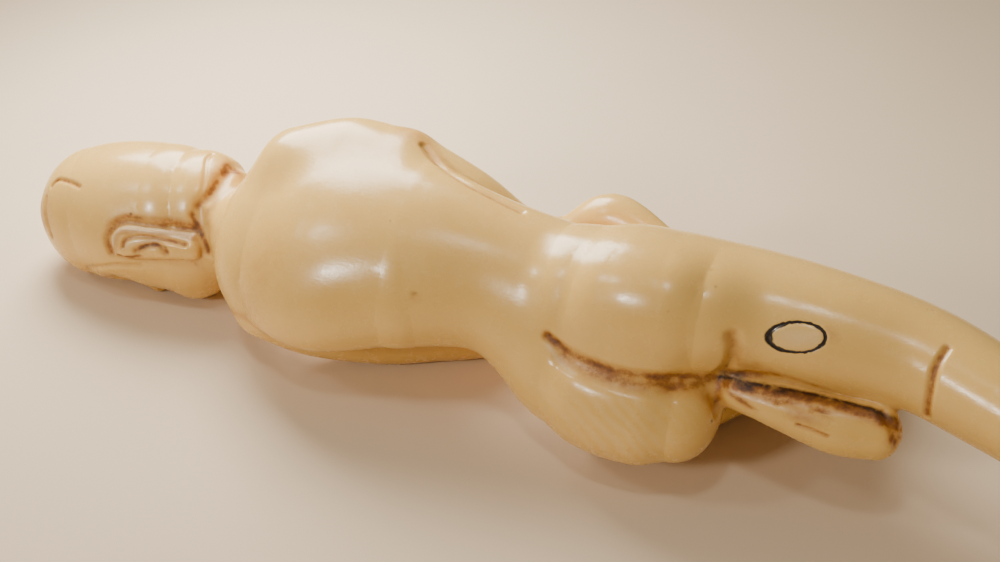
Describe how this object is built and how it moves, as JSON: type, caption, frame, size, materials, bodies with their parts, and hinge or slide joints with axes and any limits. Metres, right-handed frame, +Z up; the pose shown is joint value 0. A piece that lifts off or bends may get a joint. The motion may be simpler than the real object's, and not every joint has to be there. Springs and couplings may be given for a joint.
{
  "type": "ivory doctor figure",
  "caption": "Carved ivory figurine of a nude woman lying on her left side, head turned face down, one hand on her hip and one foot tucked under her thigh.",
  "frame": {"origin": "centre of the figure's bounding box in plan, on the plane that it rests on", "axes": "+X from the head to the feet, +Z up, her back towards -Y"},
  "size_m": [0.17, 0.0458, 0.0299],
  "materials": {
    "ivory": "polished ivory"
  },
  "bodies": {
    "root": {"figure": "ivory"}
  },
  "joints": []
}
